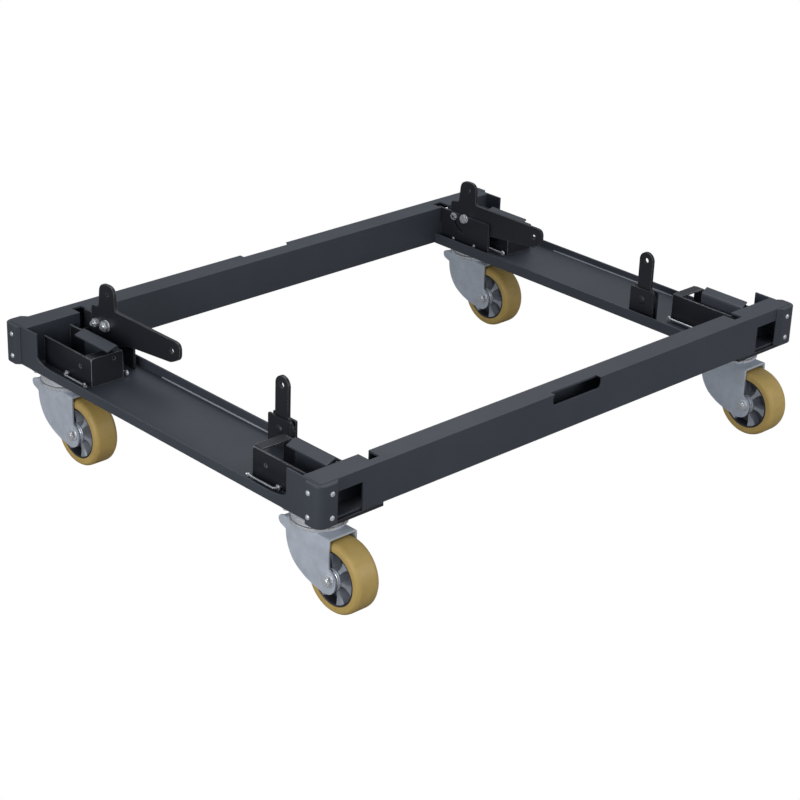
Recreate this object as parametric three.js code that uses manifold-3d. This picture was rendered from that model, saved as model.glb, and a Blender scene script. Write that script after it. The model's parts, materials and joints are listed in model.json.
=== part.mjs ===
// Transport dolly: a low steel frame of two tubular beams and two folded side trays, carried by four
// swivel castors, with swing links at the rear and folding link tabs at the front.
// Millimetres. +X runs along the beams, -Y is the front, +Z is up and the castors stand on z = 0.
import * as THREE from 'three';
import { mergeVertices } from 'three/addons/utils/BufferGeometryUtils.js';
import Module from 'manifold-3d';

const wasm = await Module();
wasm.setup();

// Driving dimensions
const DECK_Z = 250.5;
const WHEEL_RADIUS = 63.5;
const WHEEL_WIDTH = 48;
const CASTOR_X = 529.5;
const CASTOR_Y = 349.5;
const CASTOR_TRAIL = 62;
const GAP = 0.3;

// Beams: rectangular tube
const BEAM_OUTER_Y = 423.4;
const BEAM_DEPTH = 44;
const BEAM_HEIGHT = 75;
const BEAM_WALL = 4;
const BEAM_INNER_Y = BEAM_OUTER_Y - BEAM_DEPTH;
const HAND_SLOT_HALF = 62;
const HAND_SLOT_DROP = 21;
const HAND_SLOT_INSET = 11;
const WINDOW_FROM_X = 502;
const WINDOW_TO_X = 562;
const WINDOW_DROP = 24;
const NOTCH_FROM_X = 452;
const NOTCH_TO_X = 474;
const NOTCH_Y = 406;
const NOTCH_DEPTH = 34;

// Side trays: folded sheet channel with a wall that rises at the corners
const TRAY_OUTER_X = 595.5;
const TRAY_INNER_X = 435;
const SHEET = 4;
const TRAY_FLOOR_Z = DECK_Z - BEAM_HEIGHT;
const INNER_FLANGE_HEIGHT = 21.1;
const OUTER_FLANGE_HEIGHT = 17.7;
const WALL_STEP_Y = 344;
const WALL_STEP_RUN = 44;
const FLOOR_TOP = TRAY_FLOOR_Z + SHEET;

// Corner caps, step plates
const CAP_X = 604.5;
const CAP_Y = 434.2;
const CAP_RADIUS = 20;
const CAP_SIDE_END_Y = 391.5;
const CAP_FRONT_END_X = 556;
const CAP_SCREW_RADIUS = 4.6;
const CAP_SCREW_HEIGHT = 2.2;
const CAP_SCREW_X = 577;
const CAP_SCREW_Y = 407;
const CAP_SCREW_DROPS = [17, 59.5];
const PAD_THICKNESS = 7;
const PAD_FROM_X = 456;
const PAD_TO_X = 584;
const PAD_FROM_Y = 275;

// Box brackets, guide plates and wire bails beside each castor
const BOX_INNER_X = 494;
const BOX_OUTER_X = 563;
const BOX_END_Y = 222;
const BOX_STRIP = 21;
const BOX_SHEET = 3;
const BOX_DROP = 16;
const BOX_OUTER_WALL_END_Y = 365;
const GUIDE_INNER_X = 508;
const GUIDE_OUTER_X = 541;
const GUIDE_SHEET = 3;
const GUIDE_BEND = 6;
const GUIDE_LENGTH = 99;
const GUIDE_SLANT = 14;
const FRONT_GUIDE_Y = -365.1;
const REAR_GUIDE_Y = 217;
const BAIL_OFFSET_X = 45.5;
const BAIL_RADIUS = 2;
const BAIL_PIVOT_Y = 292;
const BAIL_EYE_Y = 226;
const BAIL_Z = FLOOR_TOP + 6.2;

// Links: every link plate stands in the same plane on each side
const LINK_FROM_X = 458;
const LINK_THICKNESS = 6;
const LINK_PIN_RADIUS = 5.5;
const ARM_PIVOT_Y = 310.5;
const ARM_PIVOT_Z = DECK_Z - 6.2;
const ARM_TIP_Y = 119;
const ARM_TIP_Z = DECK_Z + 8.5;
const ARM_SWING = 75;
const INDEX_RADIUS = 29.9;
const INDEX_ANGLE = -4.8;
const WALL_PLATE_FROM_X = 453;
const WALL_PLATE_SHEET = 4;
const WALL_PLATE_END_Y = 240;
const WALL_PLATE_REAR_Y = 390;
const INDEX_BOLT_Y = ARM_PIVOT_Y + INDEX_RADIUS * Math.cos(THREE.MathUtils.degToRad(INDEX_ANGLE));
const INDEX_BOLT_Z = ARM_PIVOT_Z + INDEX_RADIUS * Math.sin(THREE.MathUtils.degToRad(INDEX_ANGLE));
const PIVOT_BOLT_RADIUS = 6;
const INDEX_BOLT_RADIUS = 4;
const TAB_HOLE_Y = -178;
const TAB_HOLE_Z = DECK_Z + 47.2;
const TAB_PIVOT_Z = DECK_Z - 33;
const TAB_HALF_NECK = 16.5;
const TAB_BASE_RADIUS = 29.5;
const CLEVIS_SHEET = 4;
const CLEVIS_HALF_WIDTH = 29.5;
const CLEVIS_GAP = 0.6;

// Castors
const RACE_RADIUS = 49;
const CROWN_Z = DECK_Z - 105;
const FORK_TOP_Z = CROWN_Z - 10.5;
const LEG_INNER = 27;
const LEG_SHEET = 3.5;
const AXLE_RADIUS = 6;
const CORE_RADIUS = 48;

// The front castors trail forwards, so the frame is set back to centre the whole object on y = 0.
const REST_SHIFT_Y = (CASTOR_Y + CASTOR_TRAIL + WHEEL_RADIUS - CAP_Y - CAP_SCREW_HEIGHT) / 2;

const COLOURS = {
  frame: { color: 0x2f333b, roughness: 0.55, metalness: 0.1 },
  dark: { color: 0x17191d, roughness: 0.5, metalness: 0.1 },
  zinc: { color: 0x9aa2ae, roughness: 0.35, metalness: 0.85 },
  core: { color: 0x4c545e, roughness: 0.4, metalness: 0.8 },
  tyre: { color: 0xb0904a, roughness: 0.5, metalness: 0 },
};

// Solids -------------------------------------------------------------------------------------------

function welded(geometry) {
  const bare = geometry.clone();
  bare.deleteAttribute('normal');
  bare.deleteAttribute('uv');
  return mergeVertices(bare, 1e-4);
}

function toSolid(geometry) {
  const merged = welded(geometry);
  const vertProperties = new Float32Array(merged.attributes.position.array);
  const triVerts = new Uint32Array(merged.index.array);
  return new wasm.Manifold(new wasm.Mesh({ numProp: 3, vertProperties, triVerts }));
}

function toGeometry(solid) {
  const mesh = solid.getMesh();
  const geometry = new THREE.BufferGeometry();
  geometry.setAttribute('position', new THREE.BufferAttribute(mesh.vertProperties, 3));
  geometry.setIndex(new THREE.BufferAttribute(mesh.triVerts, 1));
  return geometry;
}

function join(first, ...others) {
  return toGeometry(others.reduce((sum, item) => sum.add(toSolid(item)), toSolid(first)));
}

function cut(first, ...others) {
  return toGeometry(others.reduce((sum, item) => sum.subtract(toSolid(item)), toSolid(first)));
}

function box(x0, x1, y0, y1, z0, z1) {
  const geometry = new THREE.BoxGeometry(x1 - x0, y1 - y0, z1 - z0);
  return geometry.translate((x0 + x1) / 2, (y0 + y1) / 2, (z0 + z1) / 2);
}

function rodX(radius, x0, x1, y, z, sides = 20) {
  const geometry = new THREE.CylinderGeometry(radius, radius, x1 - x0, sides);
  return geometry.rotateZ(Math.PI / 2).translate((x0 + x1) / 2, y, z);
}

function rodY(radius, y0, y1, x, z, sides = 20) {
  const geometry = new THREE.CylinderGeometry(radius, radius, y1 - y0, sides);
  return geometry.translate(x, (y0 + y1) / 2, z);
}

function rodZ(radius, z0, z1, x, y, sides = 32) {
  const geometry = new THREE.CylinderGeometry(radius, radius, z1 - z0, sides);
  return geometry.rotateX(Math.PI / 2).translate(x, y, (z0 + z1) / 2);
}

// An outline of [u, v, corner radius] points, with each corner rounded by a curve.
function roundedOutline(points) {
  const shape = new THREE.Shape();
  points.forEach(([u, v, radius = 0], i) => {
    const corner = new THREE.Vector2(u, v);
    const before = new THREE.Vector2(...points.at(i - 1));
    const after = new THREE.Vector2(...points[(i + 1) % points.length]);
    const enter = corner.clone().add(before.sub(corner).setLength(radius));
    const leave = corner.clone().add(after.sub(corner).setLength(radius));
    if (i === 0) shape.moveTo(enter.x, enter.y);
    else shape.lineTo(enter.x, enter.y);
    if (radius > 0) shape.quadraticCurveTo(u, v, leave.x, leave.y);
  });
  shape.closePath();
  return shape;
}

// Neighbouring points that coincide, where one curve ends and the next begins, become one point.
function withoutRepeats(points) {
  return points.filter((point, i) => point.distanceTo(points.at(i - 1)) > 1e-3);
}

function extruded(shape, depth, curveSegments = 5) {
  const drawn = shape.extractPoints(curveSegments);
  const clean = new THREE.Shape(withoutRepeats(drawn.shape));
  clean.holes = drawn.holes.map((points) => new THREE.Path(withoutRepeats(points)));
  return new THREE.ExtrudeGeometry(clean, { depth, bevelEnabled: false });
}

// Plates: the shape is drawn in (Y, Z), (X, Z) or (X, Y) and thickened along the third axis.
function plateX(shape, x0, thickness, curveSegments) {
  const basis = new THREE.Matrix4().set(0, 0, 1, x0, 1, 0, 0, 0, 0, 1, 0, 0, 0, 0, 0, 1);
  return extruded(shape, thickness, curveSegments).applyMatrix4(basis);
}

function plateY(shape, y0, thickness, curveSegments) {
  const basis = new THREE.Matrix4().set(1, 0, 0, 0, 0, 0, -1, y0 + thickness, 0, 1, 0, 0, 0, 0, 0, 1);
  return extruded(shape, thickness, curveSegments).applyMatrix4(basis);
}

function plateZ(shape, z0, thickness, curveSegments) {
  return extruded(shape, thickness, curveSegments).translate(0, 0, z0);
}

// A copy on the other side of the dolly; a single mirror turns the faces, so they are turned back.
function mirrored(geometry, signX, signY) {
  const copy = welded(geometry).scale(signX, signY, 1);
  if (signX * signY < 0) copy.index.array.reverse();
  copy.computeVertexNormals();
  return copy;
}

// Frame --------------------------------------------------------------------------------------------

function beam() {
  const halfLength = TRAY_OUTER_X - SHEET - GAP;
  const bottom = DECK_Z - BEAM_HEIGHT;
  const outer = box(-halfLength, halfLength, BEAM_INNER_Y, BEAM_OUTER_Y, bottom, DECK_Z);
  const inner = box(-halfLength - 1, halfLength + 1, BEAM_INNER_Y + BEAM_WALL, BEAM_OUTER_Y - BEAM_WALL,
    bottom + BEAM_WALL, DECK_Z - BEAM_WALL);
  const windowY = [BEAM_OUTER_Y - BEAM_WALL - 1, BEAM_OUTER_Y + 1];
  const cuts = [inner, handSlot()];
  for (const side of [-1, 1]) {
    const windowX = [side * WINDOW_FROM_X, side * WINDOW_TO_X].sort((a, b) => a - b);
    cuts.push(box(...windowX, ...windowY, bottom - 1, DECK_Z - WINDOW_DROP));
    const notchX = [side * NOTCH_FROM_X, side * NOTCH_TO_X].sort((a, b) => a - b);
    cuts.push(box(...notchX, BEAM_INNER_Y - 1, NOTCH_Y, DECK_Z - NOTCH_DEPTH, DECK_Z + 1));
  }
  return cut(outer, ...cuts);
}

// A finger slot along the outer top edge, with round ends on the outer face.
function handSlot() {
  const low = DECK_Z - HAND_SLOT_DROP;
  const shape = roundedOutline([
    [-HAND_SLOT_HALF, low, 9],
    [HAND_SLOT_HALF, low, 9],
    [HAND_SLOT_HALF, DECK_Z - 1, 7],
    [HAND_SLOT_HALF - 8, DECK_Z + 2],
    [-HAND_SLOT_HALF + 8, DECK_Z + 2],
    [-HAND_SLOT_HALF, DECK_Z - 1, 7],
  ]);
  return plateY(shape, BEAM_OUTER_Y - HAND_SLOT_INSET, HAND_SLOT_INSET + 1);
}

// Profile of the tray's outer wall, from the low middle flange up to full height at both corners.
function trayWallShape() {
  const low = TRAY_FLOOR_Z + OUTER_FLANGE_HEIGHT;
  const step = DECK_Z - 44;
  const runEnd = WALL_STEP_Y - WALL_STEP_RUN;
  const shape = new THREE.Shape();
  shape.moveTo(-BEAM_OUTER_Y, TRAY_FLOOR_Z);
  shape.lineTo(BEAM_OUTER_Y, TRAY_FLOOR_Z);
  shape.lineTo(BEAM_OUTER_Y, DECK_Z);
  shape.lineTo(WALL_STEP_Y, DECK_Z);
  shape.lineTo(WALL_STEP_Y, step);
  shape.quadraticCurveTo(WALL_STEP_Y - 4, low + 1, runEnd, low);
  shape.lineTo(-runEnd, low);
  shape.quadraticCurveTo(-WALL_STEP_Y + 4, low + 1, -WALL_STEP_Y, step);
  shape.lineTo(-WALL_STEP_Y, DECK_Z);
  shape.lineTo(-BEAM_OUTER_Y, DECK_Z);
  shape.closePath();
  return shape;
}

function tray() {
  const floorEnd = BEAM_INNER_Y - GAP;
  const flangeTop = TRAY_FLOOR_Z + INNER_FLANGE_HEIGHT;
  const wall = plateX(trayWallShape(), TRAY_OUTER_X - SHEET, SHEET, 8);
  const floor = box(TRAY_INNER_X, TRAY_OUTER_X - 1, -floorEnd, floorEnd, TRAY_FLOOR_Z, FLOOR_TOP);
  const flange = box(TRAY_INNER_X, TRAY_INNER_X + SHEET, -floorEnd, floorEnd, TRAY_FLOOR_Z, flangeTop);
  return join(wall, floor, flange);
}

// A thick plate bent round the corner, with its two ends ramped at 45 degrees.
function cornerCap() {
  const insideX = TRAY_OUTER_X + GAP;
  const insideY = BEAM_OUTER_Y + GAP;
  const proudX = CAP_X - insideX;
  const proudY = CAP_Y - insideY;
  const shape = roundedOutline([
    [insideX, CAP_SIDE_END_Y],
    [CAP_X, CAP_SIDE_END_Y + proudX],
    [CAP_X, CAP_Y, CAP_RADIUS],
    [CAP_FRONT_END_X + proudY, CAP_Y],
    [CAP_FRONT_END_X, insideY],
    [insideX, insideY],
  ]);
  const screws = CAP_SCREW_DROPS.map((drop) => DECK_Z - drop).flatMap((z) => [
    rodX(CAP_SCREW_RADIUS, CAP_X - 1, CAP_X + CAP_SCREW_HEIGHT, CAP_SCREW_Y, z, 16),
    rodY(CAP_SCREW_RADIUS, CAP_Y - 1, CAP_Y + CAP_SCREW_HEIGHT, CAP_SCREW_X, z, 16),
  ]);
  return join(plateZ(shape, DECK_Z - BEAM_HEIGHT, BEAM_HEIGHT, 8), ...screws);
}

function stepPlate() {
  const top = TRAY_FLOOR_Z - GAP;
  return box(PAD_FROM_X, PAD_TO_X, PAD_FROM_Y, BEAM_OUTER_Y, top - PAD_THICKNESS, top);
}

// Brackets beside the castors ------------------------------------------------------------------------

// Two walls joined by a strip folded over their inner end; the rear ones also have a closed end.
function boxBracket(closedEnd) {
  const top = DECK_Z - BOX_DROP;
  const base = FLOOR_TOP + GAP;
  const endY = BEAM_INNER_Y - GAP;
  const strip = roundedOutline([
    [BOX_INNER_X, base],
    [BOX_INNER_X, top, 7],
    [BOX_OUTER_X, top, 7],
    [BOX_OUTER_X, base],
    [BOX_OUTER_X - BOX_SHEET, base],
    [BOX_OUTER_X - BOX_SHEET, top - BOX_SHEET, 4],
    [BOX_INNER_X + BOX_SHEET, top - BOX_SHEET, 4],
    [BOX_INNER_X + BOX_SHEET, base],
  ]);
  const wallTop = top - 1.5;
  const outerWall = BOX_OUTER_X - BOX_SHEET;
  const pieces = [
    plateY(strip, BOX_END_Y, BOX_STRIP),
    box(BOX_INNER_X, BOX_INNER_X + BOX_SHEET, BOX_END_Y + 2, endY, base, wallTop),
    box(outerWall, BOX_OUTER_X, BOX_END_Y + 2, BOX_OUTER_WALL_END_Y, base, wallTop),
  ];
  if (closedEnd) {
    pieces.push(box(BOX_INNER_X + 1, BOX_OUTER_X - 1, BOX_END_Y, BOX_END_Y + BOX_SHEET, base, wallTop));
  }
  const bracket = join(...pieces);
  const bailHole = rodX(BAIL_RADIUS + 0.8, BOX_INNER_X - 5, BOX_OUTER_X + 5, BAIL_PIVOT_Y, BAIL_Z, 12);
  const pinHole = rodX(3.5, BOX_OUTER_X - 8, BOX_OUTER_X + 5, BOX_END_Y + 34, top - 24, 12);
  const holes = [bailHole, pinHole];
  if (closedEnd) {
    const endHole = rodX(3, -5, 5, 0, 0, 12).rotateZ(Math.PI / 2);
    holes.push(endHole.translate(CASTOR_X - 16, BOX_END_Y + 1, top - 11));
  }
  return cut(bracket, ...holes);
}

// A folded angle: a lip level with the beam tops and an upright that stands on the tray floor. The
// ends slant the same way in all four places. The rear ones are notched over the bracket's strip.
function guidePlate(signX, fromY) {
  const profile = roundedOutline([
    [signX * GUIDE_INNER_X, FLOOR_TOP + GAP],
    [signX * (GUIDE_INNER_X + GUIDE_SHEET), FLOOR_TOP + GAP],
    [signX * (GUIDE_INNER_X + GUIDE_SHEET), DECK_Z - GUIDE_SHEET, GUIDE_BEND - GUIDE_SHEET],
    [signX * GUIDE_OUTER_X, DECK_Z - GUIDE_SHEET],
    [signX * GUIDE_OUTER_X, DECK_Z],
    [signX * GUIDE_INNER_X, DECK_Z, GUIDE_BEND],
  ]);
  const straight = plateY(profile, fromY, GUIDE_LENGTH);
  const highX = Math.max(signX * GUIDE_INNER_X, signX * GUIDE_OUTER_X);
  const slope = GUIDE_SLANT / (GUIDE_OUTER_X - GUIDE_INNER_X);
  const slant = new THREE.Matrix4().set(1, 0, 0, 0, slope, 1, 0, -slope * highX, 0, 0, 1, 0, 0, 0, 0, 1);
  const signY = Math.sign(fromY);
  const span = [signX * GUIDE_INNER_X - 8, signX * GUIDE_INNER_X + 8];
  const bailHole = rodX(2 * BAIL_RADIUS, ...span, signY * BAIL_PIVOT_Y, BAIL_Z, 12);
  const notch = box(...span, 0, BOX_END_Y + BOX_STRIP + 3, TRAY_FLOOR_Z, DECK_Z - BOX_DROP + 4);
  return cut(straight.applyMatrix4(slant), bailHole, notch);
}

// A wire bail: a cross rod through the bracket's walls with two side rods that end in flat eyes.
function bail() {
  const left = CASTOR_X - BAIL_OFFSET_X;
  const right = CASTOR_X + BAIL_OFFSET_X;
  const reach = BAIL_RADIUS * 0.7;
  const cross = rodX(BAIL_RADIUS, left - reach, right + reach, BAIL_PIVOT_Y, BAIL_Z, 10);
  const length = BAIL_PIVOT_Y + reach - BAIL_EYE_Y;
  const sideRod = new THREE.CylinderGeometry(BAIL_RADIUS, BAIL_RADIUS, length, 10);
  sideRod.translate(0, BAIL_EYE_Y + length / 2, 0);
  const rods = [left, right].map((x) => sideRod.clone().translate(x, 0, BAIL_Z));
  const eyes = [left, right].map((x) => rodX(5.2, x - 1.6, x + 1.6, BAIL_EYE_Y, BAIL_Z, 16));
  const opening = rodX(2.6, left - 4, right + 4, BAIL_EYE_Y, BAIL_Z, 8);
  return cut(join(cross, ...rods, ...eyes), opening);
}

// Links ----------------------------------------------------------------------------------------------

// The rear swing link, drawn about the bolt it swings on. The index stud is fixed in it and rides in
// the wall plate's arc slot, with a head on each side.
function swingArm() {
  const shape = roundedOutline([
    [ARM_TIP_Y - 22.5, DECK_Z + 28.5, 14],
    [ARM_TIP_Y - 22.5, ARM_TIP_Z - 10, 10],
    [ARM_TIP_Y + 2, ARM_TIP_Z - 23, 8],
    [ARM_PIVOT_Y - 66, DECK_Z - 26, 10],
    [ARM_PIVOT_Y - 14, DECK_Z - 42, 16],
    [ARM_PIVOT_Y + 35.5, DECK_Z - 42, 12],
    [ARM_PIVOT_Y + 47.5, DECK_Z - 24.5, 8],
    [ARM_PIVOT_Y + 46.5, DECK_Z + 21, 7],
    [ARM_PIVOT_Y + 24.5, DECK_Z + 23.5, 6],
    [ARM_PIVOT_Y + 20, DECK_Z + 72, 17],
    [ARM_PIVOT_Y - 22.5, DECK_Z + 74, 17],
    [ARM_PIVOT_Y - 24.5, DECK_Z + 28.5, 6],
  ]);
  shape.holes.push(roundHole(ARM_TIP_Y, ARM_TIP_Z, LINK_PIN_RADIUS));
  shape.holes.push(roundHole(ARM_PIVOT_Y - 3.7, DECK_Z + 55, 4));
  shape.holes.push(roundHole(ARM_PIVOT_Y, ARM_PIVOT_Z, PIVOT_BOLT_RADIUS + 0.5));
  const inner = WALL_PLATE_FROM_X - GAP;
  const outer = LINK_FROM_X + LINK_THICKNESS;
  return join(
    plateX(shape, LINK_FROM_X, LINK_THICKNESS, 6),
    rodX(INDEX_BOLT_RADIUS, inner - 4, outer + 14, INDEX_BOLT_Y, INDEX_BOLT_Z, 16),
    hexHead(inner - 5, inner, INDEX_BOLT_Y, INDEX_BOLT_Z, 7),
    hexHead(outer - 1, outer + 8, INDEX_BOLT_Y, INDEX_BOLT_Z, 7),
  );
}

function roundHole(u, v, radius) {
  const hole = new THREE.Path();
  hole.absarc(u, v, radius, 0, Math.PI * 2, true);
  return hole;
}

// The arc that the index stud runs along as the link swings tip-up.
function indexSlot() {
  const halfWidth = INDEX_BOLT_RADIUS + 0.6;
  const start = THREE.MathUtils.degToRad(INDEX_ANGLE);
  const end = THREE.MathUtils.degToRad(INDEX_ANGLE - ARM_SWING);
  const at = (angle) => [
    ARM_PIVOT_Y + INDEX_RADIUS * Math.cos(angle),
    ARM_PIVOT_Z + INDEX_RADIUS * Math.sin(angle),
  ];
  const slot = new THREE.Shape();
  slot.absarc(ARM_PIVOT_Y, ARM_PIVOT_Z, INDEX_RADIUS + halfWidth, end, start);
  slot.absarc(...at(start), halfWidth, start, start + Math.PI);
  slot.absarc(ARM_PIVOT_Y, ARM_PIVOT_Z, INDEX_RADIUS - halfWidth, start, end, true);
  slot.absarc(...at(end), halfWidth, end + Math.PI, end + 2 * Math.PI);
  return slot;
}

// The wall plate behind the link, which also fills the beam's notch.
function wallPlate() {
  const base = FLOOR_TOP + GAP;
  const end = BEAM_INNER_Y - GAP;
  const notchFloor = DECK_Z - NOTCH_DEPTH + GAP;
  const shape = roundedOutline([
    [WALL_PLATE_END_Y, base],
    [end, base],
    [end, notchFloor],
    [WALL_PLATE_REAR_Y, notchFloor],
    [WALL_PLATE_REAR_Y, DECK_Z, 2],
    [WALL_PLATE_END_Y, DECK_Z, 3],
  ]);
  const from = WALL_PLATE_FROM_X - 1;
  const to = WALL_PLATE_FROM_X + WALL_PLATE_SHEET + 1;
  const boltHole = rodX(PIVOT_BOLT_RADIUS + GAP, from, to, ARM_PIVOT_Y, ARM_PIVOT_Z);
  const slot = plateX(indexSlot(), from, to - from);
  return cut(plateX(shape, WALL_PLATE_FROM_X, WALL_PLATE_SHEET), boltHole, slot);
}

function hexHead(x0, x1, y, z, radius) {
  return rodX(radius, x0, x1, y, z, 6);
}

// The bolt that the swing link turns on, with its nut on the outside.
function pivotBolt() {
  const near = WALL_PLATE_FROM_X - GAP;
  const far = LINK_FROM_X + LINK_THICKNESS + 0.5;
  return join(
    rodX(PIVOT_BOLT_RADIUS, near - 1, far + 13, ARM_PIVOT_Y, ARM_PIVOT_Z),
    hexHead(near - 6.5, near, ARM_PIVOT_Y, ARM_PIVOT_Z, 9.5),
    hexHead(far, far + 9, ARM_PIVOT_Y, ARM_PIVOT_Z, 10),
  );
}

// The front link tab: a straight neck on a rounded base that turns about its pin.
function linkTab() {
  const shape = new THREE.Shape();
  const baseTop = DECK_Z - 13;
  const left = TAB_HOLE_Y + TAB_HALF_NECK;
  const right = TAB_HOLE_Y - TAB_HALF_NECK;
  const startAngle = Math.asin((baseTop - TAB_PIVOT_Z) / TAB_BASE_RADIUS);
  const halfBase = TAB_BASE_RADIUS * Math.cos(startAngle);
  shape.moveTo(left, baseTop + 8);
  shape.absarc(TAB_HOLE_Y, TAB_HOLE_Z, TAB_HALF_NECK, 0, Math.PI);
  shape.lineTo(right, baseTop + 8);
  shape.quadraticCurveTo(right, baseTop + 3, TAB_HOLE_Y - halfBase, baseTop);
  shape.absarc(TAB_HOLE_Y, TAB_PIVOT_Z, TAB_BASE_RADIUS, Math.PI - startAngle, 2 * Math.PI + startAngle);
  shape.quadraticCurveTo(left, baseTop + 3, left, baseTop + 8);
  shape.closePath();
  shape.holes.push(roundHole(TAB_HOLE_Y, TAB_HOLE_Z, LINK_PIN_RADIUS));
  shape.holes.push(roundHole(TAB_HOLE_Y, TAB_PIVOT_Z, 6.4));
  return plateX(shape, LINK_FROM_X, LINK_THICKNESS, 10);
}

// Two upright plates, joined by a thin foot, with the tab between them.
function tabClevis() {
  const base = FLOOR_TOP + GAP;
  const top = DECK_Z - 10.5;
  const from = TAB_HOLE_Y - CLEVIS_HALF_WIDTH;
  const to = TAB_HOLE_Y + CLEVIS_HALF_WIDTH;
  const shape = roundedOutline([[from, base], [to, base], [to, top, 3], [from, top, 3]]);
  shape.holes.push(roundHole(TAB_HOLE_Y, TAB_PIVOT_Z, 6.4));
  const innerFrom = LINK_FROM_X - CLEVIS_GAP - CLEVIS_SHEET;
  const outerFrom = LINK_FROM_X + LINK_THICKNESS + CLEVIS_GAP;
  const foot = box(innerFrom + 1, outerFrom + 1, from, to, base, base + 1.5);
  return join(plateX(shape, innerFrom, CLEVIS_SHEET), plateX(shape, outerFrom, CLEVIS_SHEET), foot);
}

function tabPin() {
  const start = LINK_FROM_X - CLEVIS_GAP - CLEVIS_SHEET - GAP;
  const end = LINK_FROM_X + LINK_THICKNESS + CLEVIS_GAP + CLEVIS_SHEET + GAP;
  const shank = rodX(6, start - 1, end + 1, TAB_HOLE_Y, TAB_PIVOT_Z);
  const head = rodX(9, start - 3, start, TAB_HOLE_Y, TAB_PIVOT_Z);
  const tail = rodX(9, end, end + 3, TAB_HOLE_Y, TAB_PIVOT_Z);
  return join(shank, head, tail);
}

// Castors: drawn about the swivel axis, with the wheel trailing towards -Y ---------------------------

function castorBase() {
  const top = TRAY_FLOOR_Z - PAD_THICKNESS - 2 * GAP;
  const plate = roundedOutline([[-50, -42, 8], [50, -42, 8], [50, 42, 8], [-50, 42, 8]]);
  const pieces = [
    plateZ(plate, top - 6, 6, 4),
    rodZ(RACE_RADIUS - 9, top - 12, top - 5, 0, 0, 28),
    rodZ(RACE_RADIUS - 3, CROWN_Z + GAP, top - 11, 0, 0, 28),
    rodZ(7, FORK_TOP_Z - 11, CROWN_Z + 1, 0, 0, 20),
    rodZ(12, FORK_TOP_Z - 12, FORK_TOP_Z - LEG_SHEET - GAP, 0, 0, 6),
  ];
  return join(...pieces);
}

// Side view of a fork leg: straight front edge, curved rear edge and a boss low round the axle.
function legShape() {
  const axleZ = WHEEL_RADIUS;
  const axleY = -CASTOR_TRAIL;
  const shape = new THREE.Shape();
  shape.moveTo(axleY + 3, FORK_TOP_Z);
  shape.lineTo(axleY + 2, axleZ + 18);
  shape.quadraticCurveTo(axleY - 13, axleZ + 12, axleY - 14, axleZ - 4);
  shape.quadraticCurveTo(axleY - 13, axleZ - 28, axleY + 12, axleZ - 29);
  shape.quadraticCurveTo(-3, axleZ - 24, 24, axleZ - 2);
  shape.quadraticCurveTo(45, axleZ + 18, 46, axleZ + 50);
  shape.lineTo(54, axleZ + 53);
  shape.quadraticCurveTo(64, axleZ + 55, 64, axleZ + 64);
  shape.quadraticCurveTo(63, FORK_TOP_Z, 54, FORK_TOP_Z);
  shape.closePath();
  shape.holes.push(roundHole(axleY, axleZ, AXLE_RADIUS + 0.3));
  return shape;
}

function fork() {
  const legs = [-LEG_INNER - LEG_SHEET, LEG_INNER].map((x) => plateX(legShape(), x, LEG_SHEET, 6));
  const outer = LEG_INNER + LEG_SHEET;
  const plate = box(-outer, outer, -CASTOR_TRAIL + 3, 54, FORK_TOP_Z - LEG_SHEET, FORK_TOP_Z);
  const cup = rodZ(RACE_RADIUS - 8, FORK_TOP_Z - 1, CROWN_Z - 4, 0, 0, 32);
  const race = rodZ(RACE_RADIUS, CROWN_Z - 5, CROWN_Z, 0, 0, 32);
  return cut(join(race, cup, plate, ...legs), rodZ(7.4, FORK_TOP_Z - 6, CROWN_Z + 2, 0, 0, 20));
}

function axleBolt() {
  const end = LEG_INNER + LEG_SHEET + GAP;
  const shank = rodX(AXLE_RADIUS, -end - 11, end + 1, 0, 0);
  const head = hexHead(end, end + 7, 0, 0, 10.4);
  return join(shank, head).translate(0, -CASTOR_TRAIL, WHEEL_RADIUS);
}

function axleNut() {
  const end = -LEG_INNER - LEG_SHEET - GAP;
  const washer = rodX(12, end - 2, end, 0, 0, 24);
  const nut = hexHead(end - 9, end - 1, 0, 0, 10.4);
  const bore = rodX(AXLE_RADIUS + 0.2, end - 12, end + 2, 0, 0);
  return cut(join(washer, nut), bore).translate(0, -CASTOR_TRAIL, WHEEL_RADIUS);
}

// Cast core: hub, web and rim in one, with five pockets between the spokes on both faces.
function wheelCore() {
  const half = WHEEL_WIDTH / 2;
  const bore = AXLE_RADIUS + 0.4;
  const profile = [
    [bore, -half - 2], [14, -half - 2], [17, -half + 1], [20, -half + 4],
    [41, -half + 4], [43.5, -half + 1], [CORE_RADIUS, -half + 1],
    [CORE_RADIUS, half - 1], [43.5, half - 1], [41, half - 4],
    [20, half - 4], [17, half - 1], [14, half + 2], [bore, half + 2], [bore, -half - 2],
  ].map(([radius, across]) => new THREE.Vector2(radius, across));
  const body = new THREE.LatheGeometry(profile, 24).rotateZ(Math.PI / 2);
  const pockets = [];
  const spokes = 5;
  for (let i = 0; i < spokes; i += 1) {
    for (const side of [-1, 1]) {
      const pocket = plateX(pocketShape(spokes), 3, 30, 2);
      pocket.rotateX((i * 2 * Math.PI) / spokes);
      pockets.push(side > 0 ? pocket : pocket.rotateZ(Math.PI));
    }
  }
  return cut(body, ...pockets).translate(0, -CASTOR_TRAIL, WHEEL_RADIUS);
}

function pocketShape(spokes) {
  const inner = 20;
  const outer = 41.5;
  const sweep = Math.PI / spokes;
  const shape = new THREE.Shape();
  shape.absarc(0, 0, outer, -sweep * 0.76, sweep * 0.76);
  shape.absarc(0, 0, inner, sweep * 0.5, -sweep * 0.5, true);
  shape.closePath();
  return shape;
}

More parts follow.
